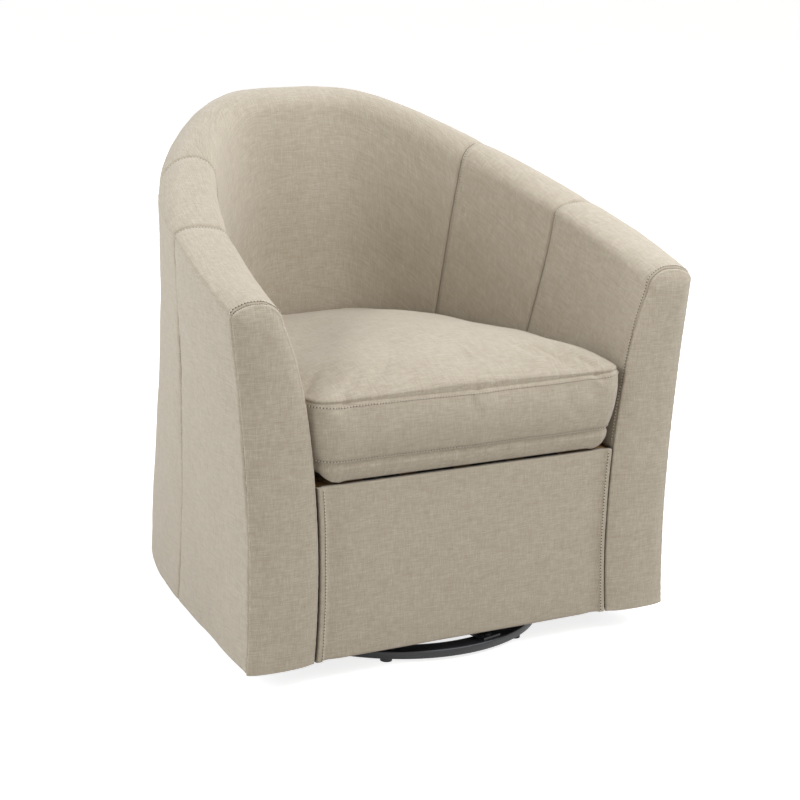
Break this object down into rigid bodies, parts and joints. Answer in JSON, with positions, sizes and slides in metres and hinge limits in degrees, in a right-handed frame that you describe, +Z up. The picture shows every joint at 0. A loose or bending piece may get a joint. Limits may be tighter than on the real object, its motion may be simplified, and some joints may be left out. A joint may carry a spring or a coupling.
{
  "type": "swivel barrel chair",
  "caption": "Upholstered swivel barrel chair: a wrap-around back sloping into the arms, a box seat cushion and a low ring base with a roller-bearing swivel.",
  "frame": {"origin": "on the floor, under the centre of the overall plan", "axes": "+Z up, the seat opens to -Y, X across the arms"},
  "size_m": [0.78, 0.701, 0.76],
  "materials": {
    "upholstery": "plain linen-look weave with slubs",
    "padded_upholstery": "the same weave over foam",
    "foam": "open-cell foam",
    "deck_felt": "needled felt",
    "webbing": "elastic webbing",
    "dust_cloth": "spun cloth",
    "plywood": "raw plywood",
    "pine": "raw softwood",
    "black_steel": "satin black powder coat",
    "zinc_steel": "zinc plated",
    "roller_steel": "polished",
    "black_plastic": "matt moulded"
  },
  "bodies": {
    "base": {"base_ring": "black_steel", "floor_glides": "black_plastic", "base_spider": "black_steel", "ring_rivets": "black_steel", "lower_bearing_plate": "zinc_steel", "pivot_bolt": "zinc_steel", "pivot_nut": "zinc_steel"},
    "cage": {"roller_cage": "black_plastic", "bearing_rollers": "roller_steel"},
    "chair": {"outer_side_cover_left": "upholstery", "outer_side_cover_right": "upholstery", "outer_back_cover": "upholstery", "arm_front_panel_left": "padded_upholstery", "arm_front_panel_right": "padded_upholstery", "arm_rear_panel_left": "padded_upholstery", "arm_rear_panel_right": "padded_upholstery", "inside_back_panel": "padded_upholstery", "arm_front_cover_left": "upholstery", "arm_front_cover_right": "upholstery", "front_panel_cover": "upholstery", "seat_cushion_cover": "upholstery", "seat_cushion_foam": "foam", "deck_pad": "deck_felt", "cross_webbing": "webbing", "long_webbing": "webbing", "dust_cover": "dust_cloth", "arm_front_board_left": "plywood", "arm_front_board_right": "plywood", "arm_rail_left": "plywood", "arm_rail_right": "plywood", "crest_rail": "plywood", "arm_post_left": "pine", "arm_post_right": "pine", "back_post_left": "pine", "back_post_right": "pine", "base_rib": "plywood", "deck_rib": "plywood", "front_rail": "pine", "back_rail": "pine", "side_rail_left": "pine", "side_rail_right": "pine", "front_cleat_left": "pine", "front_cleat_right": "pine", "front_board": "plywood", "corner_blocks": "pine", "mounting_boards": "pine", "upper_bearing_plate": "zinc_steel", "plate_screws": "zinc_steel"}
  },
  "joints": [
    {"name": "seat_swivel", "type": "hinge", "parent": "base", "child": "chair", "pos_m": [0, -0.114, 0.0485], "axis": [0, 0, 1], "continuous": true},
    {"name": "cage_turn", "type": "hinge", "parent": "base", "child": "cage", "pos_m": [0, -0.114, 0.0485], "axis": [0, 0, 1], "continuous": true}
  ],
  "couplings": [
    {"joint": "cage_turn", "follows": "seat_swivel", "ratio": 0.5}
  ]
}
